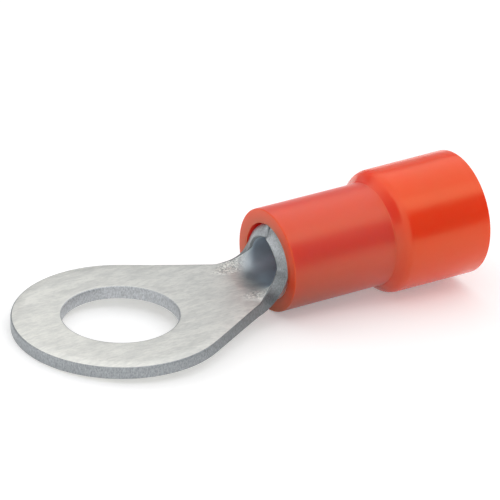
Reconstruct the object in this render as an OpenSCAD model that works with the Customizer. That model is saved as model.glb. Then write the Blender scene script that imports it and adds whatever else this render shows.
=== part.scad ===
// Insulated ring terminal: a tin-plated copper ring tongue whose neck curls up into a rolled wire
// barrel, with a moulded sleeve over the barrel. Origin at the centre of the stud hole on the
// tongue's underside, +X towards the wire, +Z up.

/* [Ring tongue] */
// Outside diameter of the ring
ring_d = 8; // [7:0.1:10]
// Diameter of the stud hole
stud_hole_d = 4.3; // [3.2:0.1:5.3]
// Width of the rounded edge that the punch leaves on top of the hole
punch_edge = 0.08; // [0.02:0.01:0.15]
// Thickness of the sheet
sheet_t = 0.5; // [0.4:0.05:0.7]

/* [Neck] */
// Distance from the ring's rear edge to the mouth of the barrel
neck_len = 2.2; // [2:0.1:4]
// Width of the neck where it is narrowest
neck_w = 3.1; // [2.6:0.1:3.4]
// Angle at which each side of the neck runs in
neck_angle = 30; // [25:1:35]
// Radius between the side of the neck and the front edge of a wing
wing_fillet_r = 0.6; // [0.3:0.05:0.8]
// Length over which the flat neck curls up to the mouth
curl_len = 1.4; // [1.2:0.1:1.8]

/* [Barrel] */
// Outside diameter of the rolled barrel
barrel_d = 2.85; // [2.6:0.05:3.2]
// Length of the barrel behind its mouth
barrel_len = 4.7; // [3.5:0.1:6.5]
// Depth of the barrel's underside below the tongue's
barrel_drop = 0.3; // [0:0.05:0.45]
// Width of the butt seam's gap
seam_gap = 0.06; // [0.02:0.01:0.15]
// Length behind the mouth over which the wings close to the seam
closing_len = 0.1; // [0.05:0.05:0.4]

/* [Sleeve] */
// Length of the sleeve
sleeve_len = 8.45; // [7.5:0.05:11]
// Length of the narrow part, up to the shoulder
grip_len = 4.45; // [3:0.05:5]
// Outside diameter of the narrow part
grip_d = 3.95; // [3.7:0.05:4.2]
// Outside diameter of the wire entry at its rear end
entry_d = 4.8; // [4.5:0.05:5.5]
// How much narrower the wire entry is at the shoulder
entry_draft = 0.05; // [0:0.01:0.2]
// Inside diameter of the wire entry
entry_bore_d = 3.85; // [3.2:0.05:4.1]
// Length of the sloping shoulder
shoulder_len = 0.4; // [0.3:0.05:1]
// Radius of the edge behind the shoulder
shoulder_r = 0.5; // [0.2:0.05:0.9]
// Radius of the sleeve's front outer edge
front_edge_r = 0.05; // [0.05:0.05:0.3]
// Radius of the sleeve's rear outer edge
rear_edge_r = 0.05; // [0.05:0.05:0.3]
// Distance that the barrel's mouth stands proud of the sleeve
mouth_proud = 0.06; // [0:0.02:0.3]
// Radial clearance between barrel and sleeve
barrel_fit = 0.02; // [0.01:0.01:0.1]
// Length of the stop lip behind the barrel
lip_len = 0.4; // [0.2:0.1:0.8]
// Gap between the barrel's end and the stop lip
lip_gap = 0.05; // [0.02:0.01:0.2]

/* [Hidden] */
$fn = 96;
past = 1;                                  // how far a cut runs past the face it opens
ring_r = ring_d / 2;
tangent_a = 90 - neck_angle;               // where the neck's side leaves the ring, from +X
mouth_x = ring_r + neck_len;
curl_x = mouth_x - curl_len;               // the sheet is flat in front of this
barrel_x = mouth_x + closing_len;          // the barrel is a plain tube behind this
barrel_end_x = mouth_x + barrel_len;
barrel_r = barrel_d / 2;
bore_r = barrel_r - sheet_t;
mid_r = barrel_r - sheet_t / 2;            // the sheet's middle, where its length stays as cut
axis_z = barrel_r - barrel_drop;
wing_w = PI * mid_r - seam_gap / 2;        // from the centre line of the cut sheet to the seam
seam_a = 180 - deg(wing_w / mid_r);        // half the angle that the seam leaves open
fillet_x = mouth_x - wing_fillet_r;
sleeve_x = mouth_x + mouth_proud;

function deg(a) = a * 180 / PI;
function clamp01(u) = min(max(u, 0), 1);
function ease(u) = u * u * (3 - 2 * u);

// ---- The cut sheet: half its width at station x, and its edge from the neck to the seam

side_tuck = 0.02;                          // the side starts this far inside the ring's outline
side_blend = 0.2;                          // softens the corner between tapered and straight side
function taper_w(x) = (ring_r - side_tuck - x * cos(tangent_a)) / sin(tangent_a);
function side_w(x) =
    let (over = taper_w(x) - neck_w / 2)
    neck_w / 2 + (over + sqrt(over * over + side_blend * side_blend)) / 2;

side_steps = 10;
fillet_steps = 6;
front_steps = 6;
seam_steps = 2;
lap = 0.2;                                 // how far the curl reaches into the tongue and the barrel
inset = 0.01;                              // and how far it lies inside their faces there
fillet_w = side_w(fillet_x) + wing_fillet_r;
sheet_edge = [
    [curl_x - lap, side_w(curl_x - lap)],
    for (i = [0:side_steps - 1])
        let (x = curl_x + (fillet_x - curl_x) * i / side_steps) [x, side_w(x)],
    for (i = [0:fillet_steps])
        let (a = 90 * i / fillet_steps) [fillet_x + wing_fillet_r * sin(a), fillet_w - wing_fillet_r * cos(a)],
    for (i = [1:front_steps])
        [mouth_x, fillet_w + (wing_w - fillet_w) * i / front_steps],
    for (i = [1:seam_steps])
        [mouth_x + closing_len * i / seam_steps, wing_w],
    [barrel_x + lap, wing_w]
];
ribs = len(sheet_edge);
rib_half = 16;                             // facets from the centre line to the edge
rib_points = 2 * rib_half + 1;

// ---- The curl: the sheet's middle surface at station x, a distance w from the centre line

curl_lag = 1.2;                            // holds the curl back where it starts
function curl(x) =
    let (u = clamp01((x - curl_x) / (barrel_x - curl_x)))
    ease(pow(u, curl_lag)) / mid_r;
function floor_z(x) =
    let (u = clamp01((x - curl_x) / (barrel_x - curl_x)))
    sheet_t / 2 - barrel_drop * ease(u);
flat_curl = 0.0001;
function middle(x, w) =
    let (k = curl(x), a = deg(k * w))
    k < flat_curl
        ? [x, w, floor_z(x)]
        : [x, sin(a) / k, floor_z(x) + (1 - cos(a)) / k];

slope_step = 0.001;
function normal(x, w) =
    let (along = middle(x + slope_step, w) - middle(x - slope_step, w),
         across = middle(x, w + slope_step) - middle(x, w - slope_step),
         n = cross(along, across))
    n / norm(n);

// Rib i fans out from its place on the centre line to its point on the edge, on both sides
function rib_x(i) =
    i == 0 ? curl_x - lap :
    i == ribs - 1 ? barrel_x + lap :
    curl_x + (barrel_x - curl_x) * (i - 1) / (ribs - 3);
function rib_point(i, j, side) =
    let (u = (j - rib_half) / rib_half,
         x = rib_x(i) + (sheet_edge[i][0] - rib_x(i)) * abs(u),
         w = (sheet_edge[i][1] - inset) * u)
    middle(x, w) + side * (sheet_t / 2 - inset) * normal(x, w);

module curled_neck() {
    top = [for (i = [0:ribs - 1], j = [0:rib_points - 1]) rib_point(i, j, 1)];
    bottom = [for (i = [0:ribs - 1], j = [0:rib_points - 1]) rib_point(i, j, -1)];
    n = len(top);
    function at(i, j) = i * rib_points + j;
    function quad(a, b, c, d) = [[a, b, c], [a, c, d]];
    faces = [
        for (i = [0:ribs - 2], j = [0:rib_points - 2]) each
            quad(at(i, j), at(i, j + 1), at(i + 1, j + 1), at(i + 1, j)),
        for (i = [0:ribs - 2], j = [0:rib_points - 2]) each
            quad(n + at(i, j), n + at(i + 1, j), n + at(i + 1, j + 1), n + at(i, j + 1)),
        for (j = [0:rib_points - 2]) each
            quad(at(0, j), n + at(0, j), n + at(0, j + 1), at(0, j + 1)),
        for (j = [0:rib_points - 2]) each
            quad(at(ribs - 1, j), at(ribs - 1, j + 1), n + at(ribs - 1, j + 1), n + at(ribs - 1, j)),
        for (i = [0:ribs - 2]) each
            quad(at(i, 0), at(i + 1, 0), n + at(i + 1, 0), n + at(i, 0)),
        for (i = [0:ribs - 2]) each
            quad(at(i, rib_points - 1), n + at(i, rib_points - 1),
                 n + at(i + 1, rib_points - 1), at(i + 1, rib_points - 1))
    ];
    polyhedron(concat(top, bottom), faces);
}

module flat_tongue() {
    side = (ring_r - side_tuck) * [cos(tangent_a), sin(tangent_a)];
    end_x = curl_x - lap / 2;
    difference() {
        linear_extrude(sheet_t) union() {
            circle(ring_r);
            polygon([side, [end_x, side_w(end_x)], [end_x, -side_w(end_x)], [side[0], -side[1]]]);
        }
        translate([0, 0, -past]) cylinder(d = stud_hole_d, h = sheet_t + 2 * past);
        translate([0, 0, sheet_t - punch_edge])
            cylinder(d1 = stud_hole_d, d2 = stud_hole_d + 4 * punch_edge, h = 2 * punch_edge);
    }
}

module barrel() {
    start_x = barrel_x + lap / 2;
    translate([start_x, 0, axis_z]) rotate([0, 90, 0]) rotate(180 + seam_a)
        rotate_extrude(angle = 360 - 2 * seam_a)
            translate([bore_r, 0]) square([sheet_t, barrel_end_x - start_x]);
}

module ring_terminal() {
    color([0.74, 0.74, 0.72]) union() {
        flat_tongue();
        curled_neck();
        barrel();
    }
}

// ---- The sleeve's profile, drawn as radius across and distance from its front face upwards

crest_r = (entry_d - entry_draft) / 2;
crest_y = grip_len + shoulder_len;
shoulder_a = atan((crest_r - grip_d / 2) / shoulder_len);
draft_a = atan(entry_draft / 2 / (sleeve_len - crest_y));
lip_x = barrel_end_x + lip_gap - sleeve_x;
funnel_x = lip_x + lip_len;
funnel_len = entry_bore_d / 2 - bore_r;    // a 45 degree funnel

// What rounding removes outside a corner whose two faces look along the angles a and b
module edge_cut(r, a, b) {
    reach = r + past;
    difference() {
        polygon([[0, 0], reach * [cos(a), sin(a)], reach * [cos(b), sin(b)]]);
        circle(r);
    }
}

// The centre of that rounding, seen from the corner
function edge_centre(r, a, b) =
    -r / cos((b - a) / 2) * [cos((a + b) / 2), sin((a + b) / 2)];

module round_edge(corner, r, a, b) {
    translate(corner + edge_centre(r, a, b)) edge_cut(r, a, b);
}

module sleeve_outline() {
    difference() {
        polygon([
            [0, 0], [grip_d / 2, 0], [grip_d / 2, grip_len], [crest_r, crest_y],
            [entry_d / 2, sleeve_len], [0, sleeve_len]
        ]);
        round_edge([grip_d / 2, 0], front_edge_r, -90, 0);
        round_edge([crest_r, crest_y], shoulder_r, -shoulder_a, -draft_a);
        round_edge([entry_d / 2, sleeve_len], rear_edge_r, -draft_a, 90);
    }
}

module sleeve_bore() {
    translate([0, -past]) square([barrel_r + barrel_fit, lip_x + past]);
    square([bore_r, sleeve_len]);
    polygon([
        [0, funnel_x], [bore_r, funnel_x], [entry_bore_d / 2, funnel_x + funnel_len],
        [entry_bore_d / 2, sleeve_len + past], [0, sleeve_len + past]
    ]);
}

module insulating_sleeve() {
    color([0.9, 0.27, 0.14])
        translate([sleeve_x, 0, axis_z]) rotate([0, 90, 0]) rotate_extrude()
            difference() {
                sleeve_outline();
                sleeve_bore();
            }
}

ring_terminal();
insulating_sleeve();
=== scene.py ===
import bmesh
import bpy
import math
from mathutils import Matrix, Vector
from mathutils.geometry import delaunay_2d_cdt


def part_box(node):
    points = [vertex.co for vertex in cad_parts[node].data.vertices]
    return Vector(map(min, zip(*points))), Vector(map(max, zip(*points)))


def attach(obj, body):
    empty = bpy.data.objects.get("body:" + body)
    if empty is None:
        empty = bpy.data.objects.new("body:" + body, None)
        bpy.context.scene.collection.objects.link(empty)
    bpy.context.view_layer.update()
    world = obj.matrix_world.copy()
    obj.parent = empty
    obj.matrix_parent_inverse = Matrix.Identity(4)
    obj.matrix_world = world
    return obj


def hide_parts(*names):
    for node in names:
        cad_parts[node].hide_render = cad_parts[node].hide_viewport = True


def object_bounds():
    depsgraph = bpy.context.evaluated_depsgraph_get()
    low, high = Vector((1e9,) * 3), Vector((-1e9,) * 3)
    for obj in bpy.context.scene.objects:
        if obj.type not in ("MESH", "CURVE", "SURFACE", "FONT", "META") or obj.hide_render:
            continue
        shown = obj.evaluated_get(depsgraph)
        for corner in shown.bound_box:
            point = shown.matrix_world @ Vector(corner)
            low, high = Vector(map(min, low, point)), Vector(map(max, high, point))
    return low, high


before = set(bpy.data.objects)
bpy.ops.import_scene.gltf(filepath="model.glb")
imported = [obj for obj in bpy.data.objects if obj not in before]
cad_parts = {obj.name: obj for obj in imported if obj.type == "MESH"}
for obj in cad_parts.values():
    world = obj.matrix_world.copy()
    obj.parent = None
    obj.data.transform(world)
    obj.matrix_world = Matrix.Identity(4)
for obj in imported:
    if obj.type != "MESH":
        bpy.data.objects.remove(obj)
cadLow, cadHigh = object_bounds()
mm = 0.001
sleeveLow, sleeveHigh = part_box("insulating_sleeve")
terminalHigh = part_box("ring_terminal")[1]


def fromHex(code):                       # sRGB hex to the linear values that a socket takes
    out = []
    for i in (0, 2, 4):
        c = int(code.lstrip("#")[i:i + 2], 16) / 255
        out.append(c / 12.92 if c <= 0.04045 else ((c + 0.055) / 1.055) ** 2.4)
    return (*out, 1.0)


def addNode(tree, kind, links=None, **settings):
    # a node with its settings; links gives inputs, by name or number, a value or another node's output
    node = tree.nodes.new(kind)
    for name, value in settings.items():
        setattr(node, name, value)
    for name, value in (links or {}).items():
        if isinstance(value, bpy.types.NodeSocket):
            tree.links.new(value, node.inputs[name])
        else:
            node.inputs[name].default_value = value
    return node


def newMaterial(name):
    mat = bpy.data.materials.new(name)
    mat.use_nodes = True
    mat.node_tree.nodes.clear()
    return mat, mat.node_tree


def addObject(name, data):
    obj = bpy.data.objects.new(name, data)
    bpy.context.scene.collection.objects.link(obj)
    return obj


def inMetres(values):                    # from a span's two ends or a place in millimetres
    return [v * mm for v in values]


def perMm(size):                         # a noise's scale for features of this many millimetres
    return 1 / (size * mm)


def polar(radius, degrees):
    return radius * math.cos(math.radians(degrees)), radius * math.sin(math.radians(degrees))


def share(x, start, end):                # how far x has come from start to end, 0 before and 1 behind
    return min(max((x - start) / (end - start), 0), 1)


def ease(u):                             # the same, but slow at both ends
    return u * u * (3 - 2 * u)


def evenly(start, end, step):            # from start up to the last one before end, about a step apart
    n = max(1, round(abs(end - start) / step))
    return [start + (end - start) * i / n for i in range(n)]


weldDistance = 1e-7                      # metres
sharpAngle = 40                          # degrees; an edge that turns more than this stays sharp


def meshPiece(name, verts, faces, kinds=None):       # kinds gives each face's material slot
    mesh = bpy.data.meshes.new(name)
    mesh.from_pydata(verts, [], faces)
    obj = addObject(name, mesh)
    if kinds:
        mesh.polygons.foreach_set("material_index", kinds)
    bm = bmesh.new()
    bm.from_mesh(mesh)
    bmesh.ops.remove_doubles(bm, verts=bm.verts, dist=weldDistance)
    bmesh.ops.recalc_face_normals(bm, faces=bm.faces)
    bm.to_mesh(mesh)
    bm.free()
    mesh.shade_smooth()
    mesh.set_sharp_from_angle(angle=math.radians(sharpAngle))
    return obj


terminal = {                             # millimetres, in the frame of the CAD model
    "sheet": 0.5,
    "ringR": terminalHigh.y / mm,
    "holeR": 2.15,
    "tangentAngle": 60,                  # degrees from +X where the neck's side leaves the ring
    "neckHalf": 1.55,
    "sideBlend": 0.2,                    # softness of the turn from the tapering to the straight side
    "wingFillet": 0.6,
    "mouth": 6.2,                        # where the wings' front edges stand
    "cornerR": 0.2,                      # corner of a wing at the seam
    "curlStart": 4.8,
    "curlEnd": 6.3,
    "curlLag": 1.2,                      # above 1 the curl starts late
    "barrelMid": 1.175,                  # radius of the sheet's middle in the barrel
    "barrelEnd": 10.9,
    "drop": 0.3,                         # the barrel's underside lies this far below the ring's
    "peak": 0.08,                        # how far the wings lean in to a point below the seam
    "belly": 0.07,                       # and bulge above the floor
    "seam": 0.06,
    "rollWidth": (0.4, 0.08),            # the tool draws the upper edge down over this width: ring, wings
    "rollNarrows": (2.8, 5.0),           # the one passes into the other here
    "rollBend": 0.5,                     # share of the width that is bent, before a straight slope
    "rollDepth": 0.042,
    "cornerEdge": 0.05,                  # radius between the roll and the sheared wall
    "wallPoint": 0.6,                    # half thicknesses down to a loop of points on that wall
    "burrR": 0.02,                       # bevel of the lower edge
    "step": 0.08,                        # mesh size in the curl
    "flatStep": (0.25, 0.16),            # along and across, elsewhere
    "edgeStep": 0.2,                     # on the barrel's straight edges
    "fineMargin": 0.3,                   # the fine mesh goes this far past the curl
    "gridMargin": 0.5,                   # the rows of points start this far outside the sheet
    "clearance": 0.6,                    # steps between the rows and the rolled edge
    "slopeInset": 1.15,                  # times as far in from the slanting sides
    "joinTurn": 1,                       # the ring's points stop this many degrees before the tangent point
    "joinGap": 0.1,                      # and the side's start this far behind it
    "ringTurn": 1.5,                     # degrees between the points on each arc
    "holeTurn": 2.5,
    "filletTurn": 9,
    "cornerTurn": 15,
    "edgeTurns": (30, 60, 90),
    "rollSteps": 6,                      # across the roll
}
plate, torn, burnished = range(3)        # the terminal's material slots


def sheetMiddle(x, w):                   # the bent sheet's middle, w from its centre line
    t = terminal
    u = share(x, t["curlStart"], t["curlEnd"])
    k = ease(u ** t["curlLag"]) / t["barrelMid"]
    floorZ = t["sheet"] / 2 - t["drop"] * ease(u)
    if k < 1e-5:                         # too flat to have a radius
        return Vector((x, w, floorZ))
    fromTop = math.pi - abs(k * w)       # the wings lean in between the barrel's sides and the seam
    lean = t["peak"] if fromTop < math.pi / 2 else t["belly"]
    r = 1 / k - lean * math.sin(2 * fromTop) * (k * t["barrelMid"]) ** 2
    return Vector((x, math.sin(k * w) * r, floorZ + 1 / k - math.cos(k * w) * r))


def sheetNormal(x, w):
    s = 0.001                            # mm to each side
    alongX = sheetMiddle(x + s, w) - sheetMiddle(x - s, w)
    acrossW = sheetMiddle(x, w + s) - sheetMiddle(x, w - s)
    return alongX.cross(acrossW).normalized()


def sideWidth(x):                        # half the neck's width, blending from the taper to the straight
    t = terminal
    cosine, sine = polar(1, t["tangentAngle"])
    over = (t["ringR"] - x * cosine) / sine - t["neckHalf"]
    return t["neckHalf"] + (over + math.sqrt(over * over + t["sideBlend"] ** 2)) / 2


# where the stretches of the cut sheet's edge meet: the tangent point, the fillet's centre, the seam
tangentX = polar(terminal["ringR"], terminal["tangentAngle"])[0]
filletX = terminal["mouth"] - terminal["wingFillet"]
filletW = sideWidth(filletX) + terminal["wingFillet"]
seamW = math.pi * terminal["barrelMid"] - terminal["seam"] / 2


def halfOutline():                       # the cut sheet's edge for w > 0, front of the ring to rear of barrel
    t = terminal
    r = t["cornerR"]
    points = [polar(t["ringR"], a) for a in evenly(180, t["tangentAngle"] + t["joinTurn"], t["ringTurn"])]
    points += [(x, sideWidth(x)) for x in evenly(tangentX + t["joinGap"], filletX, t["step"])]
    for a in evenly(0, 90, t["filletTurn"]):
        across, along = polar(t["wingFillet"], a)
        points.append((filletX + along, filletW - across))
    points += [(t["mouth"], w) for w in evenly(filletW, seamW - r, t["step"])]
    for a in evenly(0, 90, t["cornerTurn"]):
        along, across = polar(r, a)
        points.append((t["mouth"] + r - along, seamW - r + across))
    points += [(x, seamW) for x in evenly(t["mouth"] + r, t["barrelEnd"], t["edgeStep"])]
    points += [(t["barrelEnd"], w) for w in evenly(seamW, 0, t["edgeStep"])]
    return points


def rollWidth(x, w):                     # wide round the ring, narrow at the hole and from the neck on
    ring, neck = terminal["rollWidth"]
    if math.hypot(x, w) < (terminal["holeR"] + terminal["ringR"]) / 2:
        return neck
    return ring + (neck - ring) * ease(share(x, *terminal["rollNarrows"]))


def inwards(loop, rolls, plus):          # moves a loop's points into the sheet by roll widths and millimetres
    mitreLimit = 0.5                     # so that a sharp corner's point doesn't run away
    out = []
    for i, p in enumerate(loop):
        before, after = loop[i - 1], loop[(i + 1) % len(loop)]
        a = Vector((p[0] - before[0], p[1] - before[1])).normalized()
        b = Vector((after[0] - p[0], after[1] - p[1])).normalized()
        n = Vector((-a.y - b.y, a.x + b.x)) / max(mitreLimit, 1 + a.dot(b))
        distance = rolls * rollWidth(*p) + plus
        out.append((p[0] + n.x * distance, p[1] + n.y * distance))
    return out


def edgeSection():                       # (roll widths in, millimetres in, share of the roll's depth, height)
    t = terminal
    top, edge, bend = t["sheet"] / 2, t["cornerEdge"], t["rollBend"]
    section = []
    for i in range(t["rollSteps"] + 1):  # a bend, then a straight slope
        u = i / t["rollSteps"]
        fall = u * u if u < bend else 2 * bend * u - bend * bend
        section.append((1 - u, edge, fall / (2 * bend - bend * bend), top))
    for a in t["edgeTurns"]:
        cosine, sine = polar(1, a)
        section.append((0, edge * (1 - sine), 1, top - edge * (1 - cosine)))
    return section + [(0, 0, 0, -top * t["wallPoint"]), (0, 0, 0, -top + t["burrR"]),
                      (0, t["burrR"], 0, -top)]


def insideSheet(x, w):                   # well inside the outline, clear of the rolled edge
    t = terminal
    w = abs(w)
    away = math.hypot(x, w)
    inset = rollWidth(x, w) + t["cornerEdge"] + t["step"] * t["clearance"]
    if away < t["holeR"] + inset or x > t["barrelEnd"] - inset:
        return False
    if away < t["ringR"] - inset:
        return True
    if x < tangentX:
        return False
    if w < sideWidth(x) - inset * t["slopeInset"]:
        return True
    if x > filletX and w < filletW:
        return math.hypot(x - filletX, w - filletW) > t["wingFillet"] + inset
    return x > t["mouth"] + inset and w < seamW - inset


def insideLoop(p, loop):
    inside = False
    for i in range(len(loop)):
        a, b = loop[i - 1], loop[i]
        if (a[1] > p[1]) != (b[1] > p[1]) and p[0] < (b[0] - a[0]) * (p[1] - a[1]) / (b[1] - a[1]) + a[0]:
            inside = not inside
    return inside


def sheetFill(outer, hole):              # flat triangles between the outline and the hole, finer in the curl
    t = terminal
    points, edges = [], []
    for loop in (outer, hole):
        first = len(points)
        points += loop
        edges += [(first + i, first + (i + 1) % len(loop)) for i in range(len(loop))]
    fineStart, fineEnd = t["curlStart"] - t["fineMargin"], t["curlEnd"] + t["fineMargin"]
    stepX, stepW = t["flatStep"]
    xs = evenly(-t["ringR"], fineStart, stepX) + evenly(fineStart, fineEnd, t["step"])
    xs += evenly(fineEnd, t["barrelEnd"], stepX)
    reach = math.pi * t["barrelMid"] + t["gridMargin"]
    for x in xs:
        step = t["step"] if fineStart < x < fineEnd else stepW
        points += [(x, w) for w in evenly(-reach, reach, step) if insideSheet(x, w)]
    insideOnly, tolerance = 1, 1e-7      # what to keep of the triangles, and millimetres
    points, _, triangles, *_ = delaunay_2d_cdt([Vector(p) for p in points], edges, [], insideOnly, tolerance)
    centres = [sum((points[i] for i in f), Vector((0, 0))) / len(f) for f in triangles]
    return points, [f for f, centre in zip(triangles, centres)
                    if insideLoop(centre, outer) and not insideLoop(centre, hole)]


def makeTerminal():
    # The two faces are triangles in the cut sheet's outline, and the edge is a section carried round the
    # outline and the hole. Every point is then taken to its place in the bent sheet.
    t = terminal
    half = halfOutline()
    outline = half + [(x, -w) for x, w in reversed(half[1:])]
    outline.reverse()                    # the sheet lies on the left of the loop, as it does at the hole
    hole = [polar(t["holeR"], -a) for a in evenly(0, 360, t["holeTurn"])]
    section = edgeSection()
    verts, faces, kinds = [], [], []

    def put(x, w, height):               # the place and the height above the middle in the flat sheet
        verts.append((sheetMiddle(x, w) + sheetNormal(x, w) * height) * mm)

    for loop, wall in ((outline, torn), (hole, burnished)):
        n = len(loop)
        first = len(verts)
        for rolls, plus, drop, height in section:
            for place, p in zip(loop, inwards(loop, rolls, plus)):
                depth = t["rollDepth"] * rollWidth(*place) / t["rollWidth"][0]
                put(*p, height - drop * depth)
        for k in range(len(section) - 1):
            for i in range(n):
                a, b = first + k * n + i, first + k * n + (i + 1) % n
                faces.append((a, a + n, b + n, b))
                kinds.append(plate if k < t["rollSteps"] else wall)
    for turn, (rolls, plus, _, height) in ((1, section[0]), (-1, section[-1])):
        points, triangles = sheetFill(inwards(outline, rolls, plus), inwards(hole, rolls, plus))
        first = len(verts)
        for p in points:
            put(*p, height)
        for f in triangles:
            faces.append([first + i for i in f[::turn]])
            kinds.append(plate)
    return meshPiece("tinned_ring_terminal", verts, faces, kinds)


noiseSpan = (0.3, 0.7)                   # nearly all of a noise's values lie between these

tinPlate = {
    "colour": "#EDEDE8",                 # tin reflects warm light grey
    "dullAndShade": "#B6B8B7",                   # dimmer spots in the deposit, and the colour of the painted shade towards the neck and in the creases
    "paintedShadeX": (-3, 5),                    # mm, painted shade towards the neck and the sleeve grows from here to there
    "paintedShadeMost": 0.45,                    # and reaches this share of that colour
    "paintedLightInBarrel": "#D8E2EA",               # painted light: brighter and bluer inside the barrel, a painted reflection in the dark mouth
    "barrelLightX": (5.4, 6.4),               # mm, where that takes over
    "grain": 0.09,                       # mm between the matt deposit's crystals, drawn coarser than real
    "streak": 0.45,                      # mm, rolling marks of the strip under the plate
    "alongStrip": 0.35,                  # scale along x, which draws both of them out
    "mottle": (0.12, 0.34),              # grain times streak, from the dullest spots to the clean ones
    "mottleMost": 0.4,                   # how worn the dullest look
    "wrinkle": 0.075,                    # mm between the wrinkles where the sheet is bent hardest
    "wrinkleSpan": (0.38, 0.58),         # the noise's values at their bottoms and crests
    "wrinklePaintedShade": (1.15, -0.1),        # painted shade in the creases and painted highlight on the crests, as shares of the dim colour
    "wrinkleDepth": 0.08,                # mm
    "strainMiddle": (5.3, 1.15, 0),      # mm, where the neck's side is bent hardest
    "strainSpread": (0.9, 0.5, 1),       # mm from there to where it has died away
    "strainCore": 0.3,                   # share of that distance with the full strain
    "strainPolish": -0.08,               # roughness that the bending tool takes off there
    "grainDepth": 0.006,                 # mm
    "roughness": (0.44, 0.58),           # across the streaks
}


def bendStrain(tree, place):
    # 1 where the sides of the neck turn up into the wings, 0 away from there
    axes = addNode(tree, "ShaderNodeSeparateXYZ", {"Vector": place}).outputs
    side = addNode(tree, "ShaderNodeMath", {0: axes["Y"]}, operation="ABSOLUTE").outputs[0]
    spot = addNode(tree, "ShaderNodeCombineXYZ", {"X": axes["X"], "Y": side}).outputs[0]
    near = addNode(tree, "ShaderNodeMapping", {"Vector": spot, "Location": inMetres(tinPlate["strainMiddle"]),
                   "Scale": inMetres(tinPlate["strainSpread"])}, vector_type="TEXTURE").outputs[0]
    away = addNode(tree, "ShaderNodeVectorMath", {0: near}, operation="LENGTH").outputs["Value"]
    return addNode(tree, "ShaderNodeMapRange", {"Value": away, "From Min": tinPlate["strainCore"],
                   "From Max": 1.0, "To Min": 1.0, "To Max": 0.0},
                   interpolation_type="SMOOTHSTEP").outputs["Result"]


def mattTinPlate():
    # Copper strip, rolled, stamped and then electroplated with matt tin: the deposit is a soft, even
    # grey with a fine crystal grain. The strip's rolling marks show through it as faint streaks, and
    # where the neck's sides are bent up it wrinkles; the colour paints shade into the creases and
    # highlights onto the crests. It also paints shade towards the neck and a brighter, bluer reflection
    # inside the barrel.
    mat, tree = newMaterial("matt_tin_plate_on_copper")
    place = addNode(tree, "ShaderNodeTexCoord").outputs["Object"]
    along = addNode(tree, "ShaderNodeMapping", {"Vector": place,
                    "Scale": (tinPlate["alongStrip"], 1, 1)}).outputs["Vector"]
    grain = addNode(tree, "ShaderNodeTexNoise", {"Vector": along, "Scale": perMm(tinPlate["grain"]),
                    "Detail": 3.0, "Roughness": 0.6}).outputs["Fac"]
    streaks = addNode(tree, "ShaderNodeTexNoise", {"Vector": along, "Scale": perMm(tinPlate["streak"]),
                      "Detail": 4.0, "Roughness": 0.55}).outputs["Fac"]
    wrinkles = addNode(tree, "ShaderNodeTexNoise", {"Vector": place, "Scale": perMm(tinPlate["wrinkle"]),
                       "Detail": 2.0, "Roughness": 0.6, "Distortion": 0.8}).outputs["Fac"]
    strain = bendStrain(tree, place)
    x = addNode(tree, "ShaderNodeSeparateXYZ", {"Vector": place}).outputs["X"]

    # colour: mottled on the ring, with painted shade towards the neck, painted shade in the creases and
    # painted highlight on the crests where it is bent, and a brighter, bluer painted reflection inside the
    # barrel
    blend = addNode(tree, "ShaderNodeMath", {0: grain, 1: streaks}, operation="MULTIPLY").outputs[0]
    dull, clean = tinPlate["mottle"]
    mottle = addNode(tree, "ShaderNodeMapRange", {"Value": blend, "From Min": dull, "From Max": clean,
                     "To Min": tinPlate["mottleMost"], "To Max": 0.0}).outputs["Result"]
    # painted shade: the plate darkens towards the neck and the sleeve
    start, end = inMetres(tinPlate["paintedShadeX"])
    paintedShadeToNeck = addNode(tree, "ShaderNodeMapRange", {"Value": x, "From Min": start, "From Max": end,
                      "To Min": 0.0, "To Max": tinPlate["paintedShadeMost"]}).outputs["Result"]
    shade = addNode(tree, "ShaderNodeMath", {0: mottle, 1: paintedShadeToNeck}, operation="ADD").outputs[0]
    # painted shade in the creases and painted highlight on the crests
    bottom, crest = tinPlate["wrinkleSpan"]
    dark, light = tinPlate["wrinklePaintedShade"]
    paintedCreases = addNode(tree, "ShaderNodeMapRange", {"Value": wrinkles, "From Min": bottom, "From Max": crest,
                      "To Min": dark, "To Max": light}).outputs["Result"]
    shade = addNode(tree, "ShaderNodeMix", {0: strain, 2: shade, 3: paintedCreases}).outputs[0]
    outside = addNode(tree, "ShaderNodeMix", {0: shade, 6: fromHex(tinPlate["colour"]),
                      7: fromHex(tinPlate["dullAndShade"])}, data_type="RGBA", clamp_factor=False).outputs[2]
    # painted light: the barrel's inside is brighter and bluer than the plate
    start, end = inMetres(tinPlate["barrelLightX"])
    barrelGlowShare = addNode(tree, "ShaderNodeMapRange", {"Value": x, "From Min": start, "From Max": end},
                     interpolation_type="SMOOTHSTEP").outputs["Result"]
    colour = addNode(tree, "ShaderNodeMix", {0: barrelGlowShare, 6: outside, 7: fromHex(tinPlate["paintedLightInBarrel"])},
                     data_type="RGBA").outputs[2]

    least, most = tinPlate["roughness"]
    rough = addNode(tree, "ShaderNodeMapRange", {"Value": streaks, "From Min": noiseSpan[0],
                    "From Max": noiseSpan[1], "To Min": least, "To Max": most}).outputs["Result"]
    rough = addNode(tree, "ShaderNodeMath", {0: strain, 1: tinPlate["strainPolish"], 2: rough},
                    operation="MULTIPLY_ADD").outputs[0]
    crinkle = addNode(tree, "ShaderNodeMath", {0: wrinkles, 1: strain}, operation="MULTIPLY").outputs[0]
    depth = tinPlate["wrinkleDepth"] / tinPlate["grainDepth"]
    relief = addNode(tree, "ShaderNodeMath", {0: crinkle, 1: depth, 2: grain},
                     operation="MULTIPLY_ADD").outputs[0]
    bump = addNode(tree, "ShaderNodeBump", {"Height": relief, "Strength": 1.0,
                   "Distance": tinPlate["grainDepth"] * mm})
    shader = addNode(tree, "ShaderNodeBsdfPrincipled", {"Base Color": colour, "Metallic": 1.0,
                     "Roughness": rough, "Normal": bump.outputs["Normal"]})
    addNode(tree, "ShaderNodeOutputMaterial", {"Surface": shader.outputs["BSDF"]})
    return mat


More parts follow.
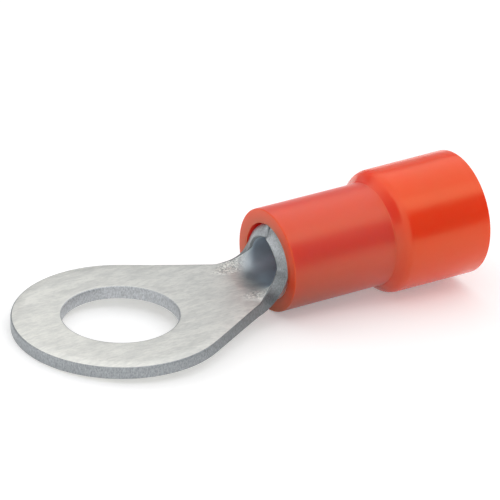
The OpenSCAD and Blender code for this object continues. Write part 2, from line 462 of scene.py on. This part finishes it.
shearedEdge = {
    "torn": ("#A5A9AC", "#828789"),      # outer edge: at the ring's tip, its own dimmer colour partly darkened as painted shade; at the neck, darker still as painted shade
    "burnished": ("#BEC1C4", "#BEC1C4"),   # wall of the pierced hole, rubbed by the punch
    "edgeShadeX": (-0.5, 4),                  # mm, painted shade grows from the tip's colour to the neck's from here to there
    "edgeHighlightZ": (0.7, 2.2),                 # mm, and fades back again up the wings
    "edgeHighlightTop": -0.3,                     # share of the neck's colour at the top, below 0 for a painted highlight lighter than the tip's
    "tear": 0.05,                        # mm between the tears that the punch leaves across the edge
    "upright": 0.5,                      # scale along z, which draws the tears out
    "tearSpan": (0.35, 0.65),            # the noise's values in a tear and beside it
    "tearShade": (0.7, 1.15),            # the colour is multiplied by this
    "tearDepth": 0.012,                  # mm
    "roughness": 0.46,
}


def tinPlateOnShearedEdge(zone):
    # The sheared edge under the same tin: the tool drags fine upright tears across it, so it is
    # darker and more broken than the faces, and its colour is partly darkened further as painted shade.
    # Painted shade darkens the outer edge towards the neck, and a painted highlight lightens it up the
    # wings. The punch rubs the pierced hole's wall brighter.
    mat, tree = newMaterial("tin_plate_on_" + zone + "_edge")
    tip, neck = (fromHex(code) for code in shearedEdge[zone])
    place = addNode(tree, "ShaderNodeTexCoord").outputs["Object"]
    upright = addNode(tree, "ShaderNodeMapping", {"Vector": place,
                      "Scale": (1, 1, shearedEdge["upright"])}).outputs["Vector"]
    tears = addNode(tree, "ShaderNodeTexNoise", {"Vector": upright, "Scale": perMm(shearedEdge["tear"]),
                    "Detail": 4.0, "Roughness": 0.65}).outputs["Fac"]
    axes = addNode(tree, "ShaderNodeSeparateXYZ", {"Vector": place}).outputs
    # painted shade towards the neck, turning to a painted highlight up the wings
    start, end = inMetres(shearedEdge["edgeShadeX"])
    along = addNode(tree, "ShaderNodeMapRange", {"Value": axes["X"], "From Min": start, "From Max": end},
                    interpolation_type="SMOOTHSTEP").outputs["Result"]
    start, end = inMetres(shearedEdge["edgeHighlightZ"])
    low = addNode(tree, "ShaderNodeMapRange", {"Value": axes["Z"], "From Min": start, "From Max": end,
                  "To Min": 1.0, "To Max": shearedEdge["edgeHighlightTop"]},
                  interpolation_type="SMOOTHSTEP").outputs["Result"]
    paintedShadeAndHighlight = addNode(tree, "ShaderNodeMath", {0: along, 1: low}, operation="MULTIPLY").outputs[0]
    base = addNode(tree, "ShaderNodeMix", {0: paintedShadeAndHighlight, 6: tip, 7: neck}, data_type="RGBA",
                   clamp_factor=False).outputs[2]
    inTear, beside = shearedEdge["tearSpan"]
    dark, light = shearedEdge["tearShade"]
    fleck = addNode(tree, "ShaderNodeMapRange", {"Value": tears, "From Min": inTear, "From Max": beside,
                    "To Min": dark, "To Max": light}).outputs["Result"]
    colour = addNode(tree, "ShaderNodeVectorMath", {0: base, "Scale": fleck}, operation="SCALE").outputs[0]
    bump = addNode(tree, "ShaderNodeBump", {"Height": tears, "Strength": 0.6,
                   "Distance": shearedEdge["tearDepth"] * mm})
    shader = addNode(tree, "ShaderNodeBsdfPrincipled", {"Base Color": colour, "Metallic": 1.0,
                     "Roughness": shearedEdge["roughness"], "Normal": bump.outputs["Normal"]})
    addNode(tree, "ShaderNodeOutputMaterial", {"Surface": shader.outputs["BSDF"]})
    return mat


terminalPiece = makeTerminal()
for mat in (mattTinPlate(), tinPlateOnShearedEdge("torn"), tinPlateOnShearedEdge("burnished")):
    terminalPiece.data.materials.append(mat)
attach(terminalPiece, "root")
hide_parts("ring_terminal")
print("terminal", len(terminalPiece.data.polygons), "faces")

sleeve = {                               # millimetres; x counts from the sleeve's front face
    "front": 6.26,                       # where the front face stands
    "length": 8.45,
    "gripLength": 4.45,
    "gripR": 1.975,
    "shoulderLength": 0.4,
    "crestR": 2.375,                     # behind the shoulder
    "entryR": (sleeveHigh.z - sleeveLow.z) / 2 / mm,
    "entryBoreR": 1.925,
    "boreR": 1.428,                      # round the barrel
    "throatR": 0.925,                    # through the stop lip
    "lipFrom": 4.69,
    "lipTo": 5.09,
    "shoulderR": 0.5,
    "creaseR": 0.12,                     # hollow where the shoulder leaves the grip
    "frontR": 0.05,
    "rearR": 0.035,
    "innerR": 0.02,
    "segments": 192,                     # round the axis
    "arcSteps": 8,                       # along each arc of the section
    "gripSteps": 6,                      # rings of points along the straight parts
    "rearSteps": 5,
}


def arc(cx, cr, radius, start, end):     # (x, radius) along part of a circle round (cx, cr)
    turns = [start + (end - start) * i / sleeve["arcSteps"] for i in range(sleeve["arcSteps"] + 1)]
    return [(cx + x, cr + r) for x, r in (polar(radius, a) for a in turns)]


def roundCorner(x, r, radius, start, end):
    # an arc in the corner (x, r) between faces that look along two angles; a radius above 0 is a hollow
    half = math.radians(end - start) / 2
    middle = math.radians(start + end) / 2
    away = radius / math.cos(half)
    hollow = 180 if radius > 0 else 0
    return arc(x + away * math.cos(middle), r + away * math.sin(middle), abs(radius),
               start + hollow, end + hollow)


def sleeveProfile():                     # (x, radius) right round the section
    s = sleeve
    crestX = s["gripLength"] + s["shoulderLength"]
    rearLength, rearRise = s["length"] - crestX, s["entryR"] - s["crestR"]
    slope = math.degrees(math.atan2(s["crestR"] - s["gripR"], s["shoulderLength"]))
    draft = math.degrees(math.atan2(rearRise, rearLength))
    points = roundCorner(0, s["gripR"], -s["frontR"], 180, 90)
    points += [(s["gripLength"] * k / s["gripSteps"], s["gripR"]) for k in range(1, s["gripSteps"])]
    points += roundCorner(s["gripLength"], s["gripR"], s["creaseR"], 90, 90 + slope)
    points += roundCorner(crestX, s["crestR"], -s["shoulderR"], 90 + slope, 90 + draft)
    points += [(crestX + rearLength * k / s["rearSteps"], s["crestR"] + rearRise * k / s["rearSteps"])
               for k in range(2, s["rearSteps"])]    # the shoulder's arc stands in for the first
    points += roundCorner(s["length"], s["entryR"], -s["rearR"], 90 + draft, 0)
    points += arc(s["length"] - s["innerR"], s["entryBoreR"] + s["innerR"], s["innerR"], 0, -90)
    funnel = s["entryBoreR"] - s["throatR"]          # at 45 degrees, so as long as it is deep
    points += [(s["lipTo"] + funnel, s["entryBoreR"]), (s["lipTo"], s["throatR"]),
               (s["lipFrom"], s["throatR"]), (s["lipFrom"], s["boreR"])]
    points += arc(s["innerR"], s["boreR"] + s["innerR"], s["innerR"], 270, 180)
    return points


def makeSleeve():
    profile = sleeveProfile()
    axisZ = (sleeveLow.z + sleeveHigh.z) / 2
    n, m = sleeve["segments"], len(profile)
    verts, faces = [], []
    for k in range(n):
        a = 2 * math.pi * k / n
        verts += [((sleeve["front"] + x) * mm, r * math.cos(a) * mm, axisZ + r * math.sin(a) * mm)
                  for x, r in profile]
        this, other = k * m, (k + 1) % n * m
        for i in range(m):
            j = (i + 1) % m
            faces.append((this + i, this + j, other + j, other + i))
    return meshPiece("moulded_insulating_sleeve", verts, faces)


sleevePlastic = {
    "colour": "#FA431C",                 # orange-red pigment
    "paintedShadeOverMetal": "#EE4840",              # painted shade: the thin wall is darker where the barrel lies inside it
    "barrelFade": 0.6,                   # mm to each side of the barrel's end, for the change of colour
    "frontGlowFade": 0.06,                   # mm behind the front face, whose rim keeps the full pigment as a painted glow
    "flow": 1.6,                         # mm, slow waves that the melt leaves along the sleeve
    "alongSleeve": 0.3,                  # scale along x, which draws the waves out
    "flowShare": 1.5,                    # height of the waves against the skin's
    "skin": 0.12,                        # mm, the mould's spark-eroded skin, drawn coarser than real
    "depth": 0.002,                      # mm
    "roughness": (0.285, 0.35),          # of the grip part, across the waves
    "glossier": -0.1,                    # what the rear part's roughness differs by
    "glossFade": 0.02,                   # mm behind the crease over which that comes in
    "ior": 1.53,                         # polyamide
    "specular": 0.7,                     # a little over the plain gloss of that index, which is 0.5
    "shine": "#FFF7B3",                  # its highlights are warm
    "reach": 1.1,                        # mm that red light travels inside it
    "reachShares": (1.0, 0.22, 0.1),     # red, green, blue
}


def mouldedPolyamide():
    # Injection-moulded polyamide: a smooth satin skin, glossier behind the crease, over a body that
    # lets a little light through, so thin rims glow and the wall over the metal looks less bright. The
    # colour also paints both: a painted shade where the barrel lies inside, and the full pigment on the
    # front rim as a painted glow.
    p = sleevePlastic
    mat, tree = newMaterial("injection_moulded_polyamide")
    place = addNode(tree, "ShaderNodeTexCoord").outputs["Object"]
    along = addNode(tree, "ShaderNodeMapping", {"Vector": place,
                    "Scale": (p["alongSleeve"], 1, 1)}).outputs["Vector"]
    flow = addNode(tree, "ShaderNodeTexNoise", {"Vector": along, "Scale": perMm(p["flow"]),
                   "Detail": 2.0}).outputs["Fac"]
    skin = addNode(tree, "ShaderNodeTexNoise", {"Vector": place, "Scale": perMm(p["skin"]),
                   "Detail": 2.0}).outputs["Fac"]
    x = addNode(tree, "ShaderNodeSeparateXYZ", {"Vector": place}).outputs["X"]
    # painted shade on the wall over the barrel, and a painted glow at the front rim
    start, end = inMetres((terminal["barrelEnd"] - p["barrelFade"], terminal["barrelEnd"] + p["barrelFade"]))
    behind = addNode(tree, "ShaderNodeMapRange", {"Value": x, "From Min": start, "From Max": end},
                     interpolation_type="SMOOTHSTEP").outputs["Result"]
    before = addNode(tree, "ShaderNodeMapRange", {"Value": x, "From Min": sleeveLow.x,
                     "From Max": sleeveLow.x + p["frontGlowFade"] * mm, "To Min": 1.0, "To Max": 0.0})
    clear = addNode(tree, "ShaderNodeMath", {0: behind, 1: before.outputs["Result"]},
                    operation="MAXIMUM").outputs[0]
    colour = addNode(tree, "ShaderNodeMix", {0: clear, 6: fromHex(p["paintedShadeOverMetal"]),
                     7: fromHex(p["colour"])}, data_type="RGBA").outputs[2]

    least, most = p["roughness"]
    rough = addNode(tree, "ShaderNodeMapRange", {"Value": flow, "From Min": noiseSpan[0],
                    "From Max": noiseSpan[1], "To Min": least, "To Max": most}).outputs["Result"]
    crease = sleeve["front"] + sleeve["gripLength"]
    start, end = inMetres((crease, crease + p["glossFade"]))
    past = addNode(tree, "ShaderNodeMapRange", {"Value": x, "From Min": start, "From Max": end})
    rough = addNode(tree, "ShaderNodeMath", {0: past.outputs["Result"], 1: p["glossier"], 2: rough},
                    operation="MULTIPLY_ADD").outputs[0]
    heights = addNode(tree, "ShaderNodeMath", {0: flow, 1: p["flowShare"], 2: skin},
                      operation="MULTIPLY_ADD").outputs[0]
    bump = addNode(tree, "ShaderNodeBump", {"Height": heights, "Strength": 0.5, "Distance": p["depth"] * mm})
    shader = addNode(tree, "ShaderNodeBsdfPrincipled", {"Base Color": colour, "Roughness": rough,
                     "IOR": p["ior"], "Specular IOR Level": p["specular"],
                     "Specular Tint": fromHex(p["shine"]), "Subsurface Weight": 1.0,
                     "Subsurface Radius": p["reachShares"], "Subsurface Scale": p["reach"] * mm,
                     "Normal": bump.outputs["Normal"]})
    addNode(tree, "ShaderNodeOutputMaterial", {"Surface": shader.outputs["BSDF"]})
    return mat


sleevePiece = makeSleeve()
sleevePiece.data.materials.append(mouldedPolyamide())
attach(sleevePiece, "root")
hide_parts("insulating_sleeve")
print("sleeve", len(sleevePiece.data.polygons), "faces")

studio = {
    "floorSize": 0.6,                    # metres from the ring's tip to each side
    "floorTilt": 4.65,                   # degrees: the part lies on its ring's tip and its sleeve's rear
    "floorGap": 0.02,                    # mm below the part
    "floorColour": "#EDEDED",
    "floorBounceShade": ("#707070", "#F0F0F0"),   # painted shade: what the part's underside sees of it, grey under the ring, pale under the sleeve
    "bounceShadeX": (9, 18),                  # mm along the floor, between these two
    "floorLift": 0.27,                   # what the floor lacks to white where the camera sees it
    "panelHeight": 0.30,                 # metres
    "panelX": (-0.7, 1.3),               # reach of the overhead panels, in heights
    "panels": {                          # name: from y, to y in heights, and brightness
        "front_panel": (-0.70, -0.25, 0.62),
        "top_panel": (-0.25, 1.2, 0.2),
    },
    "kicker": {"place": (-0.27, 0.08, 0.07), "size": 0.12, "level": 2.0},    # metres, brightness
    "flags": {                           # name: from x y, to x y, from z, to z in metres, and cloth
        "front_flag": ((0.04, -0.25), (0.42, -0.25), -0.003, 0.29, "#646B75"),
        "left_flag": ((-0.3, -0.17), (-0.3, 0.17), 0.1, 0.32, "#3C3C3C"),
        "rear_flag": ((-0.35, 0.325), (0.55, 0.325), 0.155, 0.19, "#5A5A5A"),
        "rear_card": ((-0.35, 0.3275), (0.55, 0.3275), -0.005, 0.155, "#C8C8C8"),
    },
    "world": 0.96,                       # brightness for all but what sees it white
}
white = fromHex("#FFFFFF")


def whiteForCamera(tree, plain, bright):     # bright where the camera, gloss or glass looks, plain elsewhere
    path = addNode(tree, "ShaderNodeLightPath").outputs
    seen = addNode(tree, "ShaderNodeMath", {0: path["Is Camera Ray"], 1: path["Is Glossy Ray"]},
                   operation="MAXIMUM").outputs[0]
    seen = addNode(tree, "ShaderNodeMath", {0: seen, 1: path["Is Transmission Ray"]},
                   operation="MAXIMUM").outputs[0]
    return addNode(tree, "ShaderNodeMixShader", {0: seen, 1: plain, 2: bright}).outputs[0]


def addPlane(name, corners):
    mesh = bpy.data.meshes.new(name)
    mesh.from_pydata(corners, [], [(0, 1, 2, 3)])
    return addObject(name, mesh)


def makeFloor():
    s = studio
    size = s["floorSize"]
    floor = addPlane("floor", [(-size, -size, 0), (size, -size, 0), (size, size, 0), (-size, size, 0)])
    floor.matrix_world = (Matrix.Translation((cadLow.x, 0, -s["floorGap"] * mm))
                          @ Matrix.Rotation(math.radians(s["floorTilt"]), 4, "Y"))
    mat, tree = newMaterial("pale_card")
    diffuse = addNode(tree, "ShaderNodeBsdfDiffuse", {"Color": fromHex(s["floorColour"])}).outputs[0]
    place = addNode(tree, "ShaderNodeTexCoord").outputs["Object"]
    x = addNode(tree, "ShaderNodeSeparateXYZ", {"Vector": place}).outputs["X"]
    # painted shade: the light that the floor bounces is grey under the ring
    start, end = inMetres(s["bounceShadeX"])
    along = addNode(tree, "ShaderNodeMapRange", {"Value": x, "From Min": start, "From Max": end},
                    interpolation_type="SMOOTHSTEP").outputs["Result"]
    grey, pale = (fromHex(code) for code in s["floorBounceShade"])
    shadedBounce = addNode(tree, "ShaderNodeMix", {0: along, 6: grey, 7: pale}, data_type="RGBA").outputs[2]
    shadedBounce = addNode(tree, "ShaderNodeBsdfDiffuse", {"Color": shadedBounce}).outputs[0]
    glow = addNode(tree, "ShaderNodeEmission", {"Color": white, "Strength": s["floorLift"]}).outputs[0]
    lifted = addNode(tree, "ShaderNodeAddShader", {0: diffuse, 1: glow}).outputs[0]
    addNode(tree, "ShaderNodeOutputMaterial", {"Surface": whiteForCamera(tree, shadedBounce, lifted)})
    floor.data.materials.append(mat)


def makeFlag(name, start, end, low, high, colour):   # a cloth on a frame that keeps light off one side
    flag = addPlane(name, [(*start, low), (*end, low), (*end, high), (*start, high)])
    mat, tree = newMaterial(name + "_cloth")
    cloth = addNode(tree, "ShaderNodeBsdfDiffuse", {"Color": fromHex(colour)}).outputs[0]
    addNode(tree, "ShaderNodeOutputMaterial", {"Surface": cloth})
    flag.data.materials.append(mat)
    flag.visible_camera = False


def makeLamp(name, place, sizeX, sizeY, level):      # an area lamp that shines down, as bright as its level
    light = bpy.data.lights.new(name, "AREA")
    light.shape = "RECTANGLE"
    light.size, light.size_y = sizeX, sizeY
    light.energy = level * math.pi * sizeX * sizeY
    lamp = addObject(name, light)
    lamp.location = place
    return lamp


def makeLights():
    h = studio["panelHeight"]
    x0, x1 = (v * h for v in studio["panelX"])
    for name, (fromY, toY, level) in studio["panels"].items():
        makeLamp(name, ((x0 + x1) / 2, (fromY + toY) * h / 2, h), x1 - x0, (toY - fromY) * h, level)
    k = studio["kicker"]                 # from the left, low, onto the sleeve's front face
    kicker = makeLamp("kicker", k["place"], k["size"], k["size"], k["level"])
    kicker.rotation_euler = Vector(k["place"]).to_track_quat("Z", "Y").to_euler()
    for name, flag in studio["flags"].items():
        makeFlag(name, *flag)


def makeWorld():
    world = bpy.data.worlds.new("studio")
    bpy.context.scene.world = world
    world.use_nodes = True
    tree = world.node_tree
    tree.nodes.clear()
    dim = addNode(tree, "ShaderNodeBackground", {"Color": white, "Strength": studio["world"]}).outputs[0]
    full = addNode(tree, "ShaderNodeBackground", {"Color": white, "Strength": 1.0}).outputs[0]
    addNode(tree, "ShaderNodeOutputWorld", {"Surface": whiteForCamera(tree, dim, full)})


camera = {
    "lookAt": (4.63, -1.38, 2.58),       # mm
    "azimuth": -32.49,                   # degrees
    "elevation": 27.09,
    "roll": 1.59,
    "distance": 140.8,                   # mm
    "lens": 278.2,                       # mm
    "sensor": 36,
    "clip": (0.005, 5),                  # metres
}


def makeCamera():
    c = camera
    data = bpy.data.cameras.new("camera")
    data.lens, data.sensor_width = c["lens"], c["sensor"]
    data.clip_start, data.clip_end = c["clip"]
    a, e, r = (math.radians(c[k]) for k in ("azimuth", "elevation", "roll"))
    back = Vector((math.sin(a) * math.cos(e), -math.cos(a) * math.cos(e), math.sin(e)))
    right = Vector((math.cos(a), math.sin(a), 0))
    up = back.cross(right)
    right, up = right * math.cos(r) + up * math.sin(r), up * math.cos(r) - right * math.sin(r)
    turn = Matrix((right, up, back)).transposed().to_4x4()
    place = (Vector(c["lookAt"]) + back * c["distance"]) * mm
    obj = addObject("camera", data)
    obj.matrix_world = Matrix.Translation(place) @ turn
    bpy.context.scene.camera = obj


makeFloor()
makeLights()
makeWorld()
print("studio", len(studio["panels"]) + 1, "lamps", len(studio["flags"]), "flags")
makeCamera()
bpy.context.scene.view_settings.view_transform = "Standard"
print("camera", camera["lens"], "mm lens")
